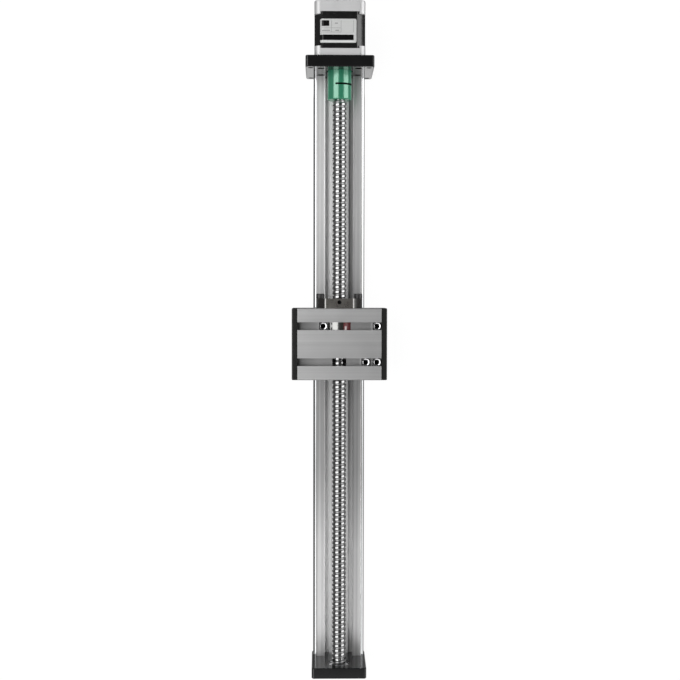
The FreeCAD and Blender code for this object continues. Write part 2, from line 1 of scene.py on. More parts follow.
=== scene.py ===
import bmesh
import bpy
import json
import math
from mathutils import Euler, Matrix, Vector

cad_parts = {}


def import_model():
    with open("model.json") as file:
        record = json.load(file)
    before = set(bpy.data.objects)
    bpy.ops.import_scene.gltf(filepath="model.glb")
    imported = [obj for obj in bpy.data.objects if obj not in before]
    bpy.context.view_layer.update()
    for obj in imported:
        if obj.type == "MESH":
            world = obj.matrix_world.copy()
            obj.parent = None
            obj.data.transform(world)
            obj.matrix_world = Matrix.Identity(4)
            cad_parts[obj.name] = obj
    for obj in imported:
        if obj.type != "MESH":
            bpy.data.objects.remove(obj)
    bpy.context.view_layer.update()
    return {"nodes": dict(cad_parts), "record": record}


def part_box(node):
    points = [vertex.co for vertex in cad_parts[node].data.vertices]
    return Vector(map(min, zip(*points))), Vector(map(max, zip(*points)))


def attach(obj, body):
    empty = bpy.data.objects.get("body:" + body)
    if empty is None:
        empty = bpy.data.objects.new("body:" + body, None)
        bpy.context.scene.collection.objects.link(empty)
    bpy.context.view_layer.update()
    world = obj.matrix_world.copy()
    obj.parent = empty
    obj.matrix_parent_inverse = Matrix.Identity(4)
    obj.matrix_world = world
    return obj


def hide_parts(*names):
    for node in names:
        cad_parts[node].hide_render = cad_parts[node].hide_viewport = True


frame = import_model()
nodes = frame["nodes"]
mm = 0.001
screwHeight = (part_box("ball_screw")[0].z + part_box("ball_screw")[1].z) / 2
print("frame loaded with", len(nodes), "nodes")


# Shader maths

def spread(value):  # one number for all three channels
    return (value, value, value) if isinstance(value, (int, float)) else tuple(value)


def plug(tree, target, value):
    if isinstance(value, Wire):
        tree.links.new(value.socket, target)
    elif target.type == "RGBA":
        target.default_value = (*spread(value), 1.0)
    elif target.type == "VECTOR":
        target.default_value = spread(value)
    else:
        target.default_value = value


class Wire:  # an output socket that works in Python expressions
    def __init__(self, tree, socket=None):
        self.tree = tree
        self.socket = socket

    def node(self, kind, settings=None, sockets=None, out=0):
        made = self.tree.nodes.new("ShaderNode" + kind)
        for name, value in (settings or {}).items():
            if name == "stops":
                setStops(made.color_ramp, value)
            else:
                setattr(made, name, value)
        for name, value in (sockets or {}).items():
            plug(self.tree, made.inputs[name], value)
        return Wire(self.tree, made.outputs[out])

    def combine(self, operation, other, flipped=False):
        first, second = (other, self) if flipped else (self, other)
        kinds = {part.socket.type for part in (first, second) if isinstance(part, Wire)}
        if "VECTOR" in kinds:
            return self.node("VectorMath", {"operation": operation}, {0: first, 1: second})
        if "RGBA" in kinds or isinstance(other, tuple):  # a colour, also when its other half is a value
            settings = {"data_type": "RGBA", "blend_type": operation}
            return self.node("Mix", settings, {0: 1.0, 6: first, 7: second}, out=2)
        return self.node("Math", {"operation": operation}, {0: first, 1: second})

    def __add__(self, other):
        return self.combine("ADD", other)

    def __radd__(self, other):
        return self.combine("ADD", other, flipped=True)

    def __sub__(self, other):
        return self.combine("SUBTRACT", other)

    def __rsub__(self, other):
        return self.combine("SUBTRACT", other, flipped=True)

    def __mul__(self, other):
        return self.combine("MULTIPLY", other)

    def __rmul__(self, other):
        return self.combine("MULTIPLY", other, flipped=True)

    def __pow__(self, other):
        return self.combine("POWER", other)


def setStops(ramp, stops):
    while len(ramp.elements) < len(stops):
        ramp.elements.new(1.0)
    for element, (place, tone) in zip(ramp.elements, stops):
        element.position = place
        element.color = (*spread(tone), 1.0)


def mixed(wire, factor, first, second):
    return wire.node("Mix", {"data_type": "RGBA"}, {0: factor, 6: first, 7: second}, out=2)


def placeOf(wire):  # across, along and above, in metres
    parts = wire.node("SeparateXYZ", None, {"Vector": wire.node("TexCoord", out="Object")})
    return [Wire(wire.tree, output) for output in parts.socket.node.outputs]


def absolute(wire):
    return wire.node("Math", {"operation": "ABSOLUTE"}, {0: wire})


def grain(wire, perMetre, detail=2.0, roughness=0.5):  # noise with that many cells per metre
    point = wire.node("TexCoord", out="Object") * spread(perMetre)
    return wire.node("TexNoise", None,
                     {"Vector": point, "Scale": 1.0, "Detail": detail, "Roughness": roughness})


def band(wire, value, low, high):  # 0 below low, 1 above high
    return wire.node("MapRange", {"clamp": True}, {"Value": value, "From Min": low, "From Max": high})


def relief(wire, height, distance):
    return wire.node("Bump", None, {"Height": height, "Distance": distance, "Strength": 1.0})


finishes = {}


def makeFinish(name, fixed, changing):
    material = bpy.data.materials.new(name + "Finish")
    material.use_nodes = True
    tree = material.node_tree
    shader = tree.nodes["Principled BSDF"]
    for socket, value in fixed.items():
        plug(tree, shader.inputs[socket], value)
    for socket, value in changing(Wire(tree)).items():
        plug(tree, shader.inputs[socket], value)
    finishes[name] = material


# Extruded aluminium: fine lines from the die, along one axis

railLook = {
    "colour": (0.92, 0.92, 0.92),
    "roughness": 0.45,
    "lines": (2600.0, 5.0, 2600.0),
    "streaks": (420.0, 1.2, 420.0),
    "lineTone": 0.16,
    "streakTone": 1.3,
    "lineDepth": 0.004 * mm,
    "shadeHeights": (6.3 * mm, 6.8 * mm),   # heights below which the grooves get painted shade
    "shadeTones": [(-9.8, 0.72), (-9.5, 0.95), (-2.0, 0.95), (2.0, 0.41)],   # place across in mm, tone of the painted shade
    # lift of the painted shade's tone along the rail: place along in mm, amount
    "shadeLift": [(-240, 0.1), (-225, 0.45), (-156, 0.38), (-87, 0.32), (-18, 0.18), (60, 0.0)],
    "middle": (7.2 * mm, 8.0 * mm),   # below this the land and the grooves, a little rougher
    "middleRoughness": 0.16,
    # painted light and shade along the rail: land and grooves here, walls' tops below
    "middleTones": [(-225, 1.15), (-150, 1.1), (-104, 0.98), (-70, 0.9), (-18, 0.9), (60, 1.08)],
    "paintedWallTones": [(-242, 0.94), (-225, 1.08), (-156, 1.03), (-121, 0.8), (-87, 0.63), (-18, 0.54),
                  (88, 0.87), (130, 1.03), (165, 1.085)],   # place along in mm, tone of the painted light and shade
}
tableLook = {
    "colour": (0.66, 0.66, 0.66),
    "roughness": 0.42,
    "lines": (4.0, 2400.0, 2400.0),
    "streaks": (1.2, 300.0, 300.0),
    "lineTone": 0.16,
    "streakTone": 0.26,
    "lineDepth": 0.004 * mm,
    # heights below which the slots get painted shade, darker towards their left ends
    "shadeHeights": (47.5 * mm, 49.0 * mm),
    "shadeTones": [(-38.0, 0.33), (-18.0, 0.78)],
}


def toneAt(wire, place, stops):  # a tone that follows stops, with their places in mm
    first, last = stops[0][0], stops[-1][0]
    share = band(wire, place, first * mm, last * mm)
    tones = [((at - first) / (last - first), tone / 2) for at, tone in stops]  # a ramp stops at 1
    ramp = wire.node("ValToRGB", {"stops": tones}, {"Fac": share}, out="Color")
    return wire.node("SeparateColor", None, {"Color": ramp}, out=0) * 2


def extruded(name, look):
    def changing(wire):
        lines = grain(wire, look["lines"], detail=1.0)
        streaks = grain(wire, look["streaks"])
        cloud = grain(wire, 60.0, detail=3.0)
        across, along, height = placeOf(wire)
        tone = 1 + (lines - 0.5) * look["lineTone"] + (streaks - 0.5) * look["streakTone"]
        rough = look["roughness"] + (lines - 0.5) * 0.10 + (cloud - 0.5) * 0.08
        # painted shade in the grooves and slots, below the shade heights
        paintedShade = toneAt(wire, across, look["shadeTones"])
        if "shadeLift" in look:
            paintedShade = paintedShade + toneAt(wire, along, look["shadeLift"])
        tone = tone * (paintedShade + band(wire, height, *look["shadeHeights"]) * (1 - paintedShade))
        if "middle" in look:
            # painted light and shade along the rail, on the walls' tops and on the land and grooves
            wall = band(wire, height, *look["middle"])
            middleTone = toneAt(wire, along, look["middleTones"])
            wallPaintedTone = toneAt(wire, along, look["paintedWallTones"])
            tone = tone * (wall * wallPaintedTone + (1 - wall) * middleTone)
            rough = rough + (1 - wall) * look["middleRoughness"]
        return {
            "Base Color": look["colour"] * tone,
            "Roughness": rough,
            "Normal": relief(wire, lines, look["lineDepth"]),
        }
    makeFinish(name, {"Metallic": 1.0}, changing)


# Ground and polished steels

steelLooks = {
    "shaft_steel": {
        "colour": (0.82, 0.83, 0.84), "roughness": 0.08, "depth": 0.00008 * mm,
        # painted light and shade along the shaft: place along in mm, tone
        "paintedShadingAlong": [(-230, 0.60), (-150, 0.58), (-90, 0.42), (-18, 0.54), (80, 0.80), (220, 0.92)],
    },
    "bearing_steel": {"colour": (0.62, 0.62, 0.63), "roughness": 0.28, "depth": 0.001 * mm},
    "zinc_steel": {"colour": (0.74, 0.74, 0.75), "roughness": 0.15, "depth": 0.002 * mm},
}


def groundSteel(name, look):
    def changing(wire):
        marks = grain(wire, (900.0, 3800.0, 900.0))
        stain = grain(wire, 110.0, detail=4.0, roughness=0.6)
        tone = 1 + (stain - 0.5) * 0.16 + (marks - 0.5) * 0.06
        # painted light and shade along the part
        if "paintedShadingAlong" in look:
            tone = tone * toneAt(wire, placeOf(wire)[1], look["paintedShadingAlong"])
        return {
            "Base Color": look["colour"] * tone,
            "Roughness": look["roughness"] + (stain - 0.5) * 0.08 + (marks - 0.5) * 0.04,
            "Normal": relief(wire, marks, look["depth"]),
        }
    makeFinish(name, {"Metallic": 1.0}, changing)


# Ball screw: polished crest, dull ball groove

screwLook = {
    "colour": (0.60, 0.60, 0.60),
    "roughness": 0.08,
    "grooveTone": 0.8,
    "grooveRoughness": 0.22,
    "groove": (4.6 * mm, 5.9 * mm),   # radii of the groove
    "grooveEdge": 0.1 * mm,
    # painted light and shade along the screw: place along in mm, tone
    "paintedShadingAlong": [(-60, 0.74), (80, 0.86)],
}


def axisRadius(wire):  # distance from the screw's axis
    across, height = placeOf(wire)[::2]
    up = height - screwHeight
    return (across * across + up * up) ** 0.5


def screwSteel(wire):
    radius = axisRadius(wire)
    low, high = screwLook["groove"]
    edge = screwLook["grooveEdge"]
    groove = band(wire, radius, low, low + edge) * (1 - band(wire, radius, high - edge, high))
    stain = grain(wire, 110.0, detail=4.0, roughness=0.6)
    marks = grain(wire, (900.0, 3800.0, 900.0))
    tone = (1 + (stain - 0.5) * 0.16) * (1 - groove * (1 - screwLook["grooveTone"]))
    # painted light and shade along the screw
    tone = tone * toneAt(wire, placeOf(wire)[1], screwLook["paintedShadingAlong"])
    return {
        "Base Color": screwLook["colour"] * tone,
        "Roughness": screwLook["roughness"] + groove * screwLook["grooveRoughness"] + (stain - 0.5) * 0.06,
        "Normal": relief(wire, marks, 0.001 * mm),
    }


# Ball nut: ground flats and ends, a painted dark reflection on the rim round the flange, a painted highlight
# along the flats' edges and painted shade in the oil hole

nutLook = {
    "flange": (0.33, 0.314, 0.29),
    "body": (0.36, 0.36, 0.35),
    "paintedDarkRim": (0.035, 0.033, 0.031),
    "paintedEdgeHighlight": (0.85, 0.84, 0.82),
    "flangeStart": 52.0 * mm,
    "roughness": 0.2,
    "rim": 19.35 * mm,         # radius from which the flange's rim is painted dark, a painted dark reflection
    # radius from which a painted highlight runs along the flats' edges
    "flatEdge": 18.7 * mm,
    "soft": 0.1 * mm,          # width over which one tone turns to the next
    "crisp": 0.02 * mm,
    "oilHole": (57.3 * mm, 1.7 * mm),   # place along the rail, radius
    # painted shade inside the oil hole
    "holeShade": (0.003, 0.003, 0.003),
}


def nutSteel(wire):
    radius = axisRadius(wire)
    across, along = placeOf(wire)[:2]
    soft, crisp = nutLook["soft"], nutLook["crisp"]
    flange = band(wire, along, nutLook["flangeStart"], nutLook["flangeStart"] + soft)
    # painted dark reflection on the rim, painted highlight along the flats' edges
    rim = band(wire, radius, nutLook["rim"], nutLook["rim"] + crisp)
    edge = band(wire, radius, nutLook["flatEdge"], nutLook["flatEdge"] + soft) * (1 - rim)
    holePlace, holeRadius = nutLook["oilHole"]
    fromHole = (across * across + (along - holePlace) * (along - holePlace)) ** 0.5
    # painted shade inside the oil hole
    hole = (1 - band(wire, fromHole, holeRadius - crisp, holeRadius)) * flange
    stain = grain(wire, 160.0, detail=4.0, roughness=0.6)
    marks = grain(wire, (60.0, 2400.0, 2400.0))
    steel = mixed(wire, edge, mixed(wire, flange, nutLook["body"], nutLook["flange"]), nutLook["paintedEdgeHighlight"])
    rough = nutLook["roughness"] + flange * 0.08 + edge * 0.4
    steel = mixed(wire, hole, mixed(wire, rim, steel, nutLook["paintedDarkRim"]), nutLook["holeShade"])
    return {
        "Base Color": steel * (0.8 + stain * 0.4),
        "Roughness": rough + (stain - 0.5) * 0.12 + (marks - 0.5) * 0.06,
        "Metallic": 1 - rim * 0.7,
        "Normal": relief(wire, marks, 0.003 * mm),
    }


# Black and coloured coatings

blackLook = {"colour": (0.009, 0.009, 0.0095), "roughness": 0.13}
couplingLook = {
    "colour": (0.045, 0.35, 0.195),
    "roughness": 0.19,
    "turning": 5200.0,
    "slit": 0.75 * mm,         # half the width of the slit's painted shade
    "slitStart": -3.6 * mm,
    "slitColour": (0.004, 0.006, 0.005),
}
fastenerLook = {"colour": (0.016, 0.015, 0.015), "roughness": 0.3}
laminationLook = {"colour": (0.005, 0.005, 0.005), "roughness": 0.19, "sheet": 0.5 * mm}


def blackAnodised(wire):
    pores = grain(wire, 3000.0)
    cloud = grain(wire, 70.0, detail=4.0)
    rub = band(wire, grain(wire, 260.0, detail=6.0, roughness=0.7), 0.66, 0.78)
    return {
        "Base Color": blackLook["colour"] * (0.8 + cloud * 0.5 + rub * 0.8),
        "Roughness": blackLook["roughness"] + (cloud - 0.5) * 0.08 + rub * 0.06,
        "Normal": relief(wire, pores, 0.0004 * mm),
    }


def greenAnodised(wire):
    turning = grain(wire, (40.0, couplingLook["turning"], 40.0), detail=1.0)
    cloud = grain(wire, 150.0, detail=3.0)
    low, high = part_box("shaft_coupling")
    across, along = placeOf(wire)[:2]
    # painted shade in the slit
    fromSlit = absolute(along - (low.y + high.y) / 2)
    slit = 1 - band(wire, fromSlit, couplingLook["slit"], couplingLook["slit"] + 0.02 * mm)
    slit = slit * band(wire, across, couplingLook["slitStart"], couplingLook["slitStart"] + 0.1 * mm)
    green = couplingLook["colour"] * (0.92 + turning * 0.12 + cloud * 0.06)
    return {
        "Base Color": mixed(wire, slit, green, couplingLook["slitColour"]),
        "Roughness": couplingLook["roughness"] + slit * 0.5 + (turning - 0.5) * 0.08,
        "Metallic": 0.25 + slit * 0.75,
        "Normal": relief(wire, turning, 0.002 * mm),
    }


def blackOxide(wire):
    cloud = grain(wire, 420.0, detail=4.0)
    return {
        "Base Color": fastenerLook["colour"] * (0.7 + cloud * 0.6),
        "Roughness": fastenerLook["roughness"] + (cloud - 0.5) * 0.14,
        "Normal": relief(wire, cloud, 0.004 * mm),
    }


def laminations(wire):
    along = placeOf(wire)[1]
    sheets = wire.node("Math", {"operation": "SINE"}, {0: along * (2 * math.pi / laminationLook["sheet"])})
    cloud = grain(wire, 300.0, detail=4.0)
    return {
        "Base Color": laminationLook["colour"] * (0.75 + cloud * 0.5),
        "Roughness": laminationLook["roughness"] + (cloud - 0.5) * 0.16,
        "Normal": relief(wire, sheets * 0.5 + cloud, 0.02 * mm),
    }


# Motor castings

castLook = {"colour": (0.87, 0.87, 0.875), "roughness": 0.5}


def motorAluminium(wire):
    skin = grain(wire, 1500.0, detail=3.0)
    cloud = grain(wire, 90.0, detail=4.0)
    milling = grain(wire, (35.0, 2600.0, 2600.0), detail=1.0)
    return {
        "Base Color": castLook["colour"] * (0.9 + cloud * 0.14 + (milling - 0.5) * 0.08),
        "Roughness": castLook["roughness"] + (cloud - 0.5) * 0.1 + (skin - 0.5) * 0.08,
        "Normal": relief(wire, skin * 0.7 + milling * 0.3, 0.006 * mm),
    }


# Plastics, rubber, winding, magnet

mouldedLooks = {
    "black_plastic": {"colour": (0.019, 0.019, 0.0185), "roughness": 0.23, "grain": 2200.0},
    "white_plastic": {"colour": (0.80, 0.79, 0.74), "roughness": 0.36, "grain": 1500.0},
    "seal_rubber": {"colour": (0.022, 0.022, 0.023), "roughness": 0.55, "grain": 2600.0},
    "magnet_dark": {"colour": (0.10, 0.10, 0.105), "roughness": 0.45, "grain": 1800.0},
}


def moulded(name, look):
    def changing(wire):
        texture = grain(wire, look["grain"])
        cloud = grain(wire, 120.0, detail=4.0)
        return {
            "Base Color": look["colour"] * (0.88 + cloud * 0.24),
            "Roughness": look["roughness"] + (cloud - 0.5) * 0.12,
            "Normal": relief(wire, texture, 0.006 * mm),
        }
    makeFinish(name, {"IOR": 1.5}, changing)


redLook = {
    "colour": (0.17, 0.008, 0.011),
    "shade": (0.03, 0.026, 0.022),
    # where the painted shade on the cover's left part ends
    "shadeEdge": 3.4 * mm,
    "highlightStrip": (4.3 * mm, 6.2 * mm),    # strip of clear coat that paints a highlight beside the shade's edge
    "highlightStripEnd": 37.6 * mm,
    "soft": 0.3 * mm,          # width over which one look turns to the next
}


def redCover(wire):  # red from the shade's edge on, with painted shade before it and a painted highlight in a strip of coat
    across, along = placeOf(wire)[:2]
    soft = redLook["soft"]
    red = band(wire, across, redLook["shadeEdge"], redLook["shadeEdge"] + soft)
    start, end = redLook["highlightStrip"]
    paintedHighlight = band(wire, across, start, start + soft) * (1 - band(wire, across, end - soft, end))
    paintedHighlight = paintedHighlight * (1 - band(wire, along, redLook["highlightStripEnd"] - 2 * soft, redLook["highlightStripEnd"]))
    cloud = grain(wire, 400.0, detail=4.0)
    return {
        "Base Color": mixed(wire, red, redLook["shade"], redLook["colour"]) * (0.8 + cloud * 0.4),
        "Roughness": 0.3 + (cloud - 0.5) * 0.1,
        "Coat Weight": paintedHighlight,
        "Normal": relief(wire, cloud, 0.004 * mm),
    }


copperLook = {"colour": (0.72, 0.30, 0.13), "strands": 12000.0}
pinLook = {"colour": (0.78, 0.70, 0.48)}


def copperWinding(wire):
    strands = wire.node("Math", {"operation": "SINE"}, {0: placeOf(wire)[1] * copperLook["strands"]})
    return {
        "Base Color": copperLook["colour"] * (0.85 + grain(wire, 500.0) * 0.3),
        "Roughness": 0.28 + strands * 0.05,
        "Normal": relief(wire, strands, 0.05 * mm),
    }


def pinMetal(wire):
    cloud = grain(wire, 900.0, detail=3.0)
    return {
        "Base Color": pinLook["colour"] * (0.85 + cloud * 0.3),
        "Roughness": 0.22 + cloud * 0.1,
    }


extruded("rail_aluminium", railLook)
extruded("table_aluminium", tableLook)
for slotName, slotLook in steelLooks.items():
    groundSteel(slotName, slotLook)
makeFinish("screw_steel", {"Metallic": 1.0}, screwSteel)
makeFinish("nut_steel", {"IOR": 1.6}, nutSteel)
makeFinish("black_anodised", {"IOR": 1.52}, blackAnodised)
makeFinish("coupling_green", {"IOR": 2.5}, greenAnodised)
makeFinish("black_steel", {"IOR": 1.6}, blackOxide)
makeFinish("motor_black", {"IOR": 1.85}, laminations)
makeFinish("motor_aluminium", {"Metallic": 0.6}, motorAluminium)
makeFinish("red_plastic", {"IOR": 1.5, "Coat IOR": 2.6, "Coat Roughness": 0.06}, redCover)
for slotName, slotLook in mouldedLooks.items():
    moulded(slotName, slotLook)
makeFinish("copper_wire", {"Metallic": 1.0}, copperWinding)
makeFinish("pin_metal", {"Metallic": 1.0}, pinMetal)
print("finishes made:", len(finishes))

for row in frame["record"]["subparts"]:
    nodes[row["node"]].data.materials[0] = finishes[row["material_slot"]]


# Mesh tools: round shapes are built about local Z, then laid along their real axis

def profileRing(shape, turns, along, radius):
    ring = []
    for turn in turns:
        reach = radius(turn) if callable(radius) else radius
        ring.append(shape.verts.new((reach * math.cos(turn), reach * math.sin(turn), along)))
    return ring


def joinRings(shape, lower, upper):
    for step in range(len(lower)):
        after = (step + 1) % len(lower)
        shape.faces.new((lower[step], lower[after], upper[after], upper[step]))


def threadRadius(thread, along, turn):
    place = along - thread["start"] - thread["lead"] * turn / (2 * math.pi)
    radius = thread["profile"](place % thread["lead"])
    nearEnd = min(along - thread["start"], thread["end"] - along)
    return thread["limit"](radius, nearEnd)


def threadSkin(shape, turns, thread):  # a helical surface, cut off square at both ends
    laps = range(-1, int((thread["end"] - thread["start"]) / thread["lead"]) + 2)
    columns = []
    for turn in turns:
        column = []
        for lap in laps:
            for offset in thread["offsets"]:
                along = thread["start"] + thread["lead"] * (lap + turn / (2 * math.pi)) + offset
                along = min(max(along, thread["start"]), thread["end"])
                reach = threadRadius(thread, along, turn)
                column.append(shape.verts.new((reach * math.cos(turn), reach * math.sin(turn), along)))
        columns.append(column)
    perLap = len(thread["offsets"])
    for step, column in enumerate(columns):
        last = step == len(columns) - 1
        following = columns[0][perLap:] if last else columns[step + 1]
        for low, high, highNext, lowNext in zip(column, column[1:], following[1:], following):
            places = [corner.co.z for corner in (low, lowNext, highNext, high)]
            if max(places) - min(places) > 1e-9:
                shape.faces.new((low, lowNext, highNext, high))


def turned(sections, segments):  # rings as (along, radius), threads as dictionaries
    shape = bmesh.new()
    turns = [2 * math.pi * step / segments for step in range(segments)]
    previous = None
    first = None
    for section in sections:
        if isinstance(section, dict):
            start = profileRing(shape, turns, section["start"],
                                lambda turn: threadRadius(section, section["start"], turn))
            joinRings(shape, previous, start)
            threadSkin(shape, turns, section)
            previous = profileRing(shape, turns, section["end"],
                                   lambda turn: threadRadius(section, section["end"], turn))
            continue
        ring = profileRing(shape, turns, *section)
        if previous:
            joinRings(shape, previous, ring)
        first = first or ring
        previous = ring
    shape.faces.new(first[::-1])
    shape.faces.new(previous)
    bmesh.ops.remove_doubles(shape, verts=shape.verts, dist=1e-7)
    bmesh.ops.dissolve_degenerate(shape, edges=shape.edges, dist=1e-7)
    bmesh.ops.recalc_face_normals(shape, faces=shape.faces)
    return shape


def placedAt(point, direction):  # local Z along direction, local origin at point
    return Matrix.Translation(Vector(point)) @ Vector(direction).to_track_quat("Z", "Y").to_matrix().to_4x4()


def piece(name, shapes, body, slotName, sharpAngle=32.0, material=None):
    whole = bmesh.new()
    for shape, place in shapes:
        part = bpy.data.meshes.new(name)
        shape.to_mesh(part)
        part.transform(place)
        whole.from_mesh(part)
        bpy.data.meshes.remove(part)
    mesh = bpy.data.meshes.new(name)
    whole.to_mesh(mesh)
    whole.free()
    for polygon in mesh.polygons:
        polygon.use_smooth = True
    mesh.set_sharp_from_angle(angle=math.radians(sharpAngle))
    made = bpy.data.objects.new(name, mesh)
    bpy.context.scene.collection.objects.link(made)
    made.data.materials.append(material or finishes[slotName])
    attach(made, body)
    return made


# Ball screw: a round-bottomed groove for the balls, right-hand

screwSizes = {
    "radius": 6.0 * mm,
    "journal": 4.0 * mm,
    "lead": 4.0 * mm,
    "groove": 1.2 * mm,       # radius of the groove's section
    "depth": 0.9 * mm,
    "grooveSteps": 8,
    "endChamfer": 0.9 * mm,
    "journalChamfer": 0.4 * mm,
    "segments": 48,
}


def ballScrew():
    size = screwSizes
    low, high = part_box("ball_screw")
    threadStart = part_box("tail_bearing_inner_ring")[1].y
    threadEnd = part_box("shaft_coupling")[0].y - 0.5 * mm
    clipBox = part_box("screw_circlip")
    arcCentre = size["radius"] - size["depth"] + size["groove"]
    halfWidth = math.sqrt(size["groove"] ** 2 - (arcCentre - size["radius"]) ** 2)
    halfTurn = math.asin(halfWidth / size["groove"])

    def profile(place):
        across = place - size["lead"] / 2
        if abs(across) >= halfWidth:
            return size["radius"]
        return arcCentre - math.sqrt(size["groove"] ** 2 - across ** 2)

    def limit(radius, nearEnd):
        return min(radius, size["radius"] - size["endChamfer"] + nearEnd)

    steps = size["grooveSteps"]
    offsets = [0.0]
    for step in range(steps + 1):
        across = size["groove"] * math.sin(halfTurn * (2 * step / steps - 1))
        offsets.append(size["lead"] / 2 + across)
    thread = {"start": threadStart, "end": threadEnd, "lead": size["lead"], "profile": profile,
              "limit": limit, "offsets": offsets}
    journal = size["journal"]
    chamfer = size["journalChamfer"]
    clipRoot = journal - 0.5 * mm
    sections = [
        (low.y, journal - chamfer),
        (low.y + chamfer, journal),
        (clipBox[0].y, journal),
        (clipBox[0].y, clipRoot),
        (clipBox[1].y, clipRoot),
        (clipBox[1].y, journal),
        (threadStart, journal),
        thread,
        (threadEnd, journal),
        (high.y - chamfer, journal),
        (high.y, journal - chamfer),
    ]
    shapes = [(turned(sections, size["segments"]), placedAt((0, 0, screwHeight), (0, 1, 0)))]
    made = piece("ballScrewThread", shapes, "drive_screw", "screw_steel", sharpAngle=40.0)
    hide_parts("ball_screw")
    print("ball screw made with", len(made.data.polygons), "faces")


# Socket screws with knurled heads

screwGroups = {
    "nut_flange_screws": {"body": "carriage", "radius": 2.0 * mm, "head": 4.0 * mm, "out": 1,
                          "slot": "black_steel"},
    "motor_plate_screws": {"body": "rail_assembly", "radius": 2.0 * mm, "head": 4.0 * mm, "out": 1,
                           "slot": "black_steel"},
    "end_plate_screws": {"body": "rail_assembly", "radius": 2.0 * mm, "head": 4.0 * mm, "out": -1,
                         "slot": "black_steel"},
    "motor_mount_screws": {"body": "rail_assembly", "radius": 1.5 * mm, "head": 3.0 * mm, "out": -1,
                           "slot": "black_steel"},
    "motor_case_screws": {"body": "rail_assembly", "radius": 1.5 * mm, "head": 2.0 * mm, "out": 1,
                          "slot": "zinc_steel"},
}
knurl = {"ridges": 36, "depth": 0.07 * mm, "chamfer": 0.3 * mm, "tip": 0.5 * mm, "neck": -0.8 * mm,
         "segments": 144}


def hexRadius(flats):  # radius of a hexagon's side at an angle
    def radius(turn):
        return flats / 2 / math.cos((turn % (math.pi / 3)) - math.pi / 6)
    return radius


def socketScrew(radius, headHeight, length):  # head above Z 0, shank below
    headRadius = 1.5 * radius + 0.5 * mm
    keyFlats = 1.6 * radius

    def knurled(turn):
        return headRadius - knurl["depth"] * (0.5 + 0.5 * math.cos(turn * knurl["ridges"]))

    top = headRadius - knurl["chamfer"]
    tip = -length + knurl["tip"]
    thread = {"start": tip, "end": knurl["neck"], "lead": radius * 0.35,
              "offsets": [0.0, radius * 0.08, radius * 0.175, radius * 0.27],
              "profile": lambda place: radius - abs(place / (radius * 0.175) - 1) * radius * 0.1,
              "limit": lambda reach, nearEnd: reach}
    sections = [
        (-length, radius * 0.75),
        (tip, radius * 0.9),
        thread,
        (knurl["neck"], radius * 0.98),
        (0.0, radius * 0.98),
        (0.0, top),
        (0.15 * mm, knurled),
        (headHeight - knurl["chamfer"], knurled),
        (headHeight, top),
        (headHeight, hexRadius(keyFlats + 0.15 * mm)),
        (headHeight - 0.1 * mm, hexRadius(keyFlats)),
        (headHeight / 2, hexRadius(keyFlats)),
        (headHeight / 2 - 0.3 * mm, keyFlats * 0.15),
    ]
    return turned(sections, knurl["segments"])


def solidBoxes(node):  # lowest and highest corner of each separate solid of a node
    shape = bmesh.new()
    shape.from_mesh(nodes[node].data)
    bmesh.ops.remove_doubles(shape, verts=shape.verts, dist=1e-6)
    left = set(shape.verts)
    boxes = []
    while left:
        stack = [left.pop()]
        members = []
        while stack:
            vert = stack.pop()
            members.append(vert.co.copy())
            for edge in vert.link_edges:
                other = edge.other_vert(vert)
                if other in left:
                    left.remove(other)
                    stack.append(other)
        low = Vector([min(point[axis] for point in members) for axis in range(3)])
        high = Vector([max(point[axis] for point in members) for axis in range(3)])
        boxes.append((low, high))
    shape.free()
    return sorted(boxes, key=lambda pair: tuple(round(value, 5) for value in pair[0]))


def socketScrews():
    for node, group in screwGroups.items():
        shapes = []
        for low, high in solidBoxes(node):
            centre = (low + high) / 2
            seat = high.y - group["head"] if group["out"] > 0 else low.y + group["head"]
            length = high.y - low.y - group["head"]
            shape = socketScrew(group["radius"], group["head"], length)
            shapes.append((shape, placedAt((centre.x, seat, centre.z), (0, group["out"], 0))))
        made = piece(node + "Knurled", shapes, group["body"], group["slot"])
        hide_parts(node)
    print("socket screws made:", ", ".join(screwGroups))


# Slot nuts: square foot, round collar, threaded through

slotNutSizes = {
    "hole": 2.1 * mm,          # radius to the thread's crest
    "threadDepth": 0.35 * mm,
    "lead": 0.8 * mm,
    "collar": 3.1 * mm,
    "collarHeight": 3.0 * mm,
    "break": 0.12 * mm,
    "sink": 2.95 * mm,         # radius of the countersink
    "sinkDepth": 0.25 * mm,
    "shadeDisc": (0.1 * mm, 0.4 * mm),   # heights of the dark disc of painted shade in the hole
    "segments": 72,
}
# deep: colour of the painted shade in the thread and on the disc
nutColours = {"zinc": (0.85, 0.85, 0.86), "deep": (0.012, 0.012, 0.012)}


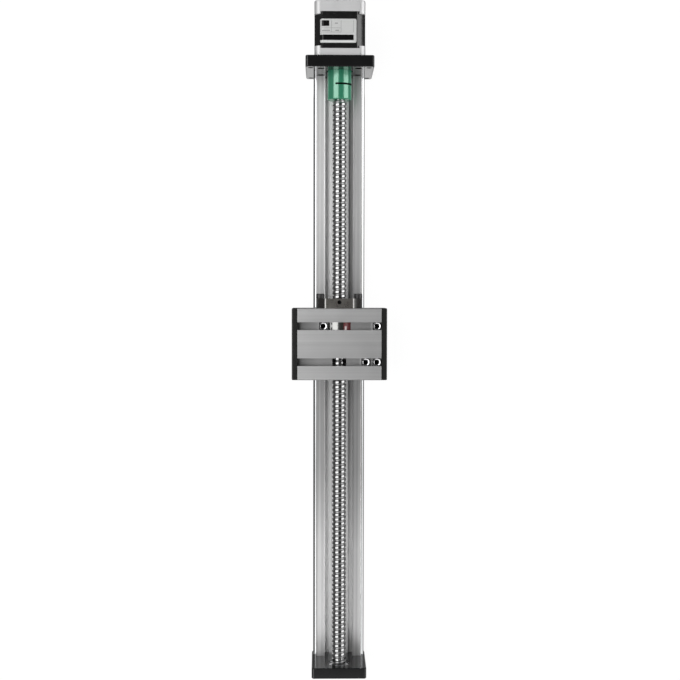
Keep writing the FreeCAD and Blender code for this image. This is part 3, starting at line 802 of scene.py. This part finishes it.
def slotNut(node):
    size = slotNutSizes
    low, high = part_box(node)
    centre = (low + high) / 2
    halfX = (high.x - low.x) / 2
    halfY = (high.y - low.y) / 2
    foot = high.z - low.z - size["collarHeight"]
    height = high.z - low.z

    def footprint(inset):
        def radius(turn):
            acrossX = (halfX - inset) / max(abs(math.cos(turn)), 1e-6)
            acrossY = (halfY - inset) / max(abs(math.sin(turn)), 1e-6)
            return min(acrossX, acrossY)
        return radius

    def profile(place):
        return size["hole"] + size["threadDepth"] * min(1.0, abs(place / size["lead"] - 0.45) * 2.2)

    deep = size["hole"] + size["threadDepth"]
    crest = size["hole"] + 0.05 * mm
    threadStart = -height + 0.4 * mm
    threadEnd = -size["sinkDepth"] - 0.1 * mm
    thread = {"start": threadStart, "end": threadEnd, "lead": size["lead"], "profile": profile,
              "offsets": [0.0, size["lead"] * 0.4, size["lead"] * 0.5, size["lead"] * 0.9],
              "limit": lambda reach, nearEnd: reach}
    edge = size["break"]
    sections = [  # open at both ends, where the bore is joined on
        (-height, deep),
        (-height, footprint(edge)),
        (-height + edge, footprint(0.0)),
        (-height + foot - edge, footprint(0.0)),
        (-height + foot, footprint(edge)),
        (-height + foot, size["collar"]),
        (-edge, size["collar"]),
        (0.0, size["collar"] - edge),
        (0.0, size["sink"]),
    ]
    outside = turned(sections, size["segments"])
    bore = [(-height, deep), (threadStart, crest), thread, (threadEnd, crest), (0.0, size["sink"])]
    inside = turned(bore, size["segments"])
    return joinedNut(outside, inside), Matrix.Translation((centre.x, centre.y, high.z))


def joinedNut(outside, inside):  # opens both shapes at their ends and makes one skin of them
    for shape in (outside, inside):
        caps = [face for face in shape.faces if len(face.verts) > 8]
        bmesh.ops.delete(shape, geom=caps, context="FACES_ONLY")
    bmesh.ops.reverse_faces(inside, faces=inside.faces)
    part = bpy.data.meshes.new("hole")
    inside.to_mesh(part)
    outside.from_mesh(part)
    bpy.data.meshes.remove(part)
    inside.free()
    bmesh.ops.remove_doubles(outside, verts=outside.verts, dist=1e-6)
    return outside


def nutZinc(wire):  # bright zinc outside, painted shade in the thread and on the disc at its bottom
    deep = wire.node("Attribute", {"attribute_name": "deep"}, out="Fac")
    stain = grain(wire, 700.0, detail=3.0)
    zinc = nutColours["zinc"] * (0.9 + stain * 0.2)
    return {
        "Base Color": mixed(wire, deep, zinc, nutColours["deep"]),
        "Roughness": 0.12 + deep * 0.4 + (stain - 0.5) * 0.06,
    }


def slotNuts():
    makeFinish("nutZinc", {"IOR": 1.2, "Metallic": 1.0}, nutZinc)
    size = slotNutSizes
    for node in [name for name in nodes if name.startswith("slot_nut")]:
        low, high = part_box(node)
        centre = (low + high) / 2
        # a dark disc of painted shade at the bottom of the hole
        shadeDisc = turned([(height, size["hole"] + 0.1 * mm) for height in size["shadeDisc"]], 36)
        foot = Matrix.Translation((centre.x, centre.y, low.z))
        shapes = [slotNut(node), (shadeDisc, foot)]
        made = piece(node + "Threaded", shapes, node, "zinc_steel", material=finishes["nutZinc"])
        # painted shade on the thread and the disc
        paintedShades = made.data.attributes.new("deep", "FLOAT", "POINT")
        for vert, shade in zip(made.data.vertices, paintedShades.data):
            reach = math.hypot(vert.co.x - centre.x, vert.co.y - centre.y)
            inHole = vert.co.z < high.z - size["sinkDepth"] - 0.11 * mm
            shade.value = float(inHole and reach < size["collar"] - 0.3 * mm)
        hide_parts(node)
    print("slot nuts made")


# Plain rating plate on the motor, with ruled boxes and no words

labelSizes = {
    "x": (-16.2 * mm, 13.5 * mm),
    "y": (269.8 * mm, 289.3 * mm),
    "thickness": 0.12 * mm,
    "corner": 1.2 * mm,
    "ink": 0.015 * mm,
    "inkCorners": {"dark": 0.5 * mm, "line": 0.05 * mm, "pale": 0.05 * mm},
    "stator": 25.2 * mm,       # radius of the stator's turned corners, about the screw's axis
    "grid": 0.5 * mm,          # the sheet bends only at multiples of this
}
labelTones = {  # colour, metallic, roughness
    "silver": ((0.77, 0.78, 0.77), 0.1, 0.4),
    "dark": ((0.004, 0.004, 0.004), 0.0, 0.18),
    "line": ((0.25, 0.25, 0.25), 0.0, 0.4),
    "pale": ((0.96, 0.97, 0.96), 0.0, 0.4),
}
labelInk = [  # place of each printed block, from the plate's lower left corner, in mm
    {"x": (1.2, 7.4), "y": (13.6, 18.2), "tone": "dark"},
    {"x": (0.0, 27.4), "y": (2.2, 6.6), "tone": "dark"},
    {"x": (1.2, 17.0), "y": (12.0, 12.2), "tone": "line"},
    {"x": (1.2, 17.0), "y": (8.6, 8.8), "tone": "line"},
    {"x": (9.2, 9.4), "y": (8.6, 18.2), "tone": "line"},
    {"x": (17.0, 17.2), "y": (8.6, 18.2), "tone": "line"},
    {"x": (27.2, 27.4), "y": (8.6, 18.2), "tone": "line"},
    {"x": (12.0, 14.6), "y": (15.6, 16.2), "tone": "line"},
    {"x": (1.6, 8.2), "y": (9.8, 10.3), "tone": "line"},
    {"x": (12.4, 15.4), "y": (9.8, 10.4), "tone": "line"},
    {"x": (0.8, 28.0), "y": (0.8, 1.7), "tone": "pale"},
]


def statorTop(x):  # height of the stator's skin, straight between the places of the grid
    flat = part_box("motor_stator")[1].z - screwHeight
    grid = labelSizes["grid"]
    first = math.floor(x / grid) * grid
    left, right = [min(flat, math.sqrt(labelSizes["stator"] ** 2 - place ** 2))
                   for place in (first, first + grid)]
    return screwHeight + left + (right - left) * (x - first) / grid


def foil(xRange, yRange, lift, thickness, corner):  # a sheet that follows the stator's top
    grid = labelSizes["grid"]
    shape = bmesh.new()
    low, high = xRange
    rounds = [corner * (1 - math.cos(math.radians(15 * step))) for step in range(7)]
    places = {round(place, 7) for value in rounds for place in (low + value, high - value)}
    places |= {round(step * grid, 7) for step in range(math.ceil(low / grid), math.floor(high / grid) + 1)}
    columns = []
    for x in sorted(places):
        fromEnd = min(corner, x - low, high - x)
        inset = corner - math.sqrt(max(0.0, corner ** 2 - (corner - fromEnd) ** 2))
        base = statorTop(x) + lift
        columns.append([shape.verts.new(point) for point in (
            (x, yRange[0] + inset, base), (x, yRange[1] - inset, base),
            (x, yRange[1] - inset, base + thickness), (x, yRange[0] + inset, base + thickness))])
    for first, second in zip(columns, columns[1:]):
        joinRings(shape, first, second)
    shape.faces.new(columns[0][::-1])
    shape.faces.new(columns[-1])
    bmesh.ops.recalc_face_normals(shape, faces=shape.faces)
    return shape


def labelFinish(name, colour, metallic, roughness):
    def changing(wire):
        cloud = grain(wire, 200.0, detail=4.0)
        brushing = grain(wire, (30.0, 4200.0, 30.0), detail=1.0)
        return {
            "Base Color": colour * (0.92 + cloud * 0.1 + (brushing - 0.5) * 0.1),
            "Roughness": roughness + (cloud - 0.5) * 0.1,
        }
    makeFinish(name, {"Metallic": metallic}, changing)


def motorLabel():
    for tone, values in labelTones.items():
        labelFinish("label" + tone.capitalize(), *values)
    size = labelSizes
    unmoved = Matrix.Identity(4)
    plate = foil(size["x"], size["y"], 0.0, size["thickness"], size["corner"])
    piece("motorLabel", [(plate, unmoved)], "rail_assembly", "motor_aluminium",
          material=finishes["labelSilver"])
    for tone, corner in size["inkCorners"].items():
        shapes = []
        for block in labelInk:
            if block["tone"] == tone:
                xRange = [size["x"][0] + value * mm for value in block["x"]]
                yRange = [size["y"][0] + value * mm for value in block["y"]]
                shapes.append((foil(xRange, yRange, size["thickness"], size["ink"], corner), unmoved))
        piece("motorLabel" + tone.capitalize(), shapes, "rail_assembly", "motor_black",
              material=finishes["label" + tone.capitalize()])
    print("motor label made")


# A dark disc of painted shade, sunk in the ball nut's oil hole

holeShadeDiscSizes = {"radius": 1.6 * mm, "sunk": 5.0 * mm, "thickness": 0.6 * mm}


def oilHoleShadeDisc():
    size = holeShadeDiscSizes
    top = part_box("ball_nut")[1].z
    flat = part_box("carriage_table")[1].z
    disc = turned([(-size["thickness"], size["radius"]), (0.0, size["radius"])], 36)
    place = Matrix.Translation((0.0, nutLook["oilHole"][0], min(top, flat) - size["sunk"]))
    piece("oilHoleShadeDisc", [(disc, place)], "carriage", "seal_rubber")
    print("shade disc made in the oil hole")


ballScrew()
oilHoleShadeDisc()
socketScrews()
slotNuts()
motorLabel()


# Floor, light and camera

studio = {
    "floorDrop": 0.3 * mm,
    "floorSize": 12.0,
    "floorColour": (0.93, 0.93, 0.93),
    "floorShine": 1.06,         # white paper, as the camera sees it
    "paperForCamera": 0.10,     # share of the paper's own light and shadow that shows
    "mirrorNear": 0.30,         # what reflections see of the floor beside the rail
    "mirrorFar": 0.12,
    "nearEnd": (0.04, 0.09),    # distances between which near turns to far
    "reflectionStrip": (0.234, 0.238),     # glowing strip on the floor, seen only in reflections, that paints the bright reflection in the motor plate's inner face; from here to the motor plate's foot
    "reflectionStripEdges": (0.001, 0.01),         # widths over which it fades, along and across
    "zenith": 0.06,
    "horizon": 0.12,
    "horizonEnds": (0.40, 0.15),        # beyond the end plate, beyond the motor
    "horizonBand": (0.3, 0.9),          # how far along a direction points where the ends set in
    "zenithBand": (0.3, 0.95),
}
softboxes = {  # angles from straight up in degrees, the way it leans, width, middle and radiance
    "softboxLeft": {"angles": (11.5, 58.0), "towards": (-1, 0, 0), "width": 1.7, "shift": 0.08,
                    "radiance": 2.15},
    "softboxRight": {"angles": (41.0, 90.0), "towards": (1, 0, 0), "width": 1.7, "shift": 0.08,
                     "radiance": 1.95},
    "softboxTail": {"angles": (26.2, 53.0), "towards": (0, -1, 0), "width": 1.0, "shift": 0.0,
                    "radiance": 0.85},
}
softboxDistance = 1.6
cameraPlace = {
    "location": (-0.01627, 0.06537, 1.05448),
    "turn": (-0.0391940, -0.0166142, 0.0014314),
    "lens": 63.95,
    "sensor": 36.0,
    "clip": (0.01, 50.0),
}


def floorTone(wire):  # how much of the floor is a plain tone, and which, for each kind of ray
    camera, glossy, through = [wire.node("LightPath", out=name)
                               for name in ("Is Camera Ray", "Is Glossy Ray", "Is Transmission Ray")]
    mirrors = wire.node("Math", {"operation": "MAXIMUM"}, {0: glossy, 1: through})
    across, along = placeOf(wire)[:2]
    sideways = absolute(across)
    far = band(wire, sideways, *studio["nearEnd"])
    tone = studio["mirrorNear"] + far * (studio["mirrorFar"] - studio["mirrorNear"])
    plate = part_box("motor_plate")
    fadeAlong, fadeAcross = studio["reflectionStripEdges"]
    # painted reflection: a glowing strip seen only by reflections
    reflectionStrip = band(wire, along, *studio["reflectionStrip"]) * (1 - band(wire, along, plate[0].y, plate[0].y + fadeAlong))
    reflectionStrip = reflectionStrip * (1 - band(wire, sideways, plate[1].x, plate[1].x + fadeAcross))
    tone = tone + reflectionStrip * (studio["floorShine"] - tone)
    share = camera * (1 - studio["paperForCamera"]) + (1 - camera) * mirrors
    return share, camera * studio["floorShine"] + (1 - camera) * tone


def floor():
    size = studio["floorSize"] / 2
    shape = bmesh.new()
    height = -studio["floorDrop"]
    places = ((-size, -size), (size, -size), (size, size), (-size, size))
    shape.faces.new([shape.verts.new((x, y, height)) for x, y in places])
    mesh = bpy.data.meshes.new("floor")
    shape.to_mesh(mesh)
    made = bpy.data.objects.new("floor", mesh)
    bpy.context.scene.collection.objects.link(made)
    material = bpy.data.materials.new("floorFinish")
    material.use_nodes = True
    tree = material.node_tree
    tree.nodes.remove(tree.nodes["Principled BSDF"])
    wire = Wire(tree)
    paper = wire.node("BsdfDiffuse", None, {"Color": studio["floorColour"]})
    share, tone = floorTone(wire)
    plain = wire.node("Emission", None, {"Color": tone, "Strength": 1.0})
    both = wire.node("MixShader", None, {0: share, 1: paper, 2: plain})
    tree.links.new(both.socket, tree.nodes["Material Output"].inputs["Surface"])
    mesh.materials.append(material)


def world():
    made = bpy.data.worlds.new("studio")
    made.use_nodes = True
    tree = made.node_tree
    wire = Wire(tree)
    direction = wire.node("TexCoord", out="Generated")
    height = wire.node("SeparateXYZ", None, {"Vector": direction}, out="Z")
    along = wire.node("SeparateXYZ", None, {"Vector": direction}, out="Y")
    tail, motor = studio["horizonEnds"]
    tone = studio["horizon"]
    tone = tone + band(wire, along * -1, *studio["horizonBand"]) * (tail - studio["horizon"])
    tone = tone + band(wire, along, *studio["horizonBand"]) * (motor - studio["horizon"])
    tone = tone + band(wire, height, *studio["zenithBand"]) * (studio["zenith"] - tone)
    camera = wire.node("LightPath", out="Is Camera Ray")
    plug(tree, tree.nodes["Background"].inputs["Color"], camera + (1 - camera) * tone)
    plug(tree, tree.nodes["Background"].inputs["Strength"], 1.0)
    bpy.context.scene.world = made


def lamps():
    for name, box in softboxes.items():
        towards = Vector(box["towards"])
        sideways = Vector((0, 0, 1)).cross(towards)
        ends = []
        for angle in box["angles"]:
            turn = math.radians(angle)
            ends.append((towards * math.sin(turn) + Vector((0, 0, 1)) * math.cos(turn)) * softboxDistance)
        data = bpy.data.lights.new(name, "AREA")
        data.shape = "RECTANGLE"
        data.size = (ends[1] - ends[0]).length
        data.size_y = box["width"]
        data.energy = box["radiance"] * math.pi * data.size * data.size_y
        lamp = bpy.data.objects.new(name, data)
        lamp.location = (ends[0] + ends[1]) / 2 + Vector((0, box["shift"], 0))
        across = (ends[1] - ends[0]).normalized()
        back = across.cross(sideways)
        axes = Matrix((across, sideways, back)).transposed()
        lamp.rotation_mode = "QUATERNION"
        lamp.rotation_quaternion = axes.to_quaternion()
        lamp.visible_camera = False
        bpy.context.scene.collection.objects.link(lamp)


def camera():
    data = bpy.data.cameras.new("camera")
    data.lens = cameraPlace["lens"]
    data.sensor_width = cameraPlace["sensor"]
    data.clip_start, data.clip_end = cameraPlace["clip"]
    made = bpy.data.objects.new("camera", data)
    made.location = cameraPlace["location"]
    made.rotation_euler = Euler(cameraPlace["turn"], "XYZ")
    bpy.context.scene.collection.objects.link(made)
    bpy.context.scene.camera = made


floor()
world()
lamps()
camera()
bpy.context.scene.view_settings.view_transform = "Standard"
print("studio ready")
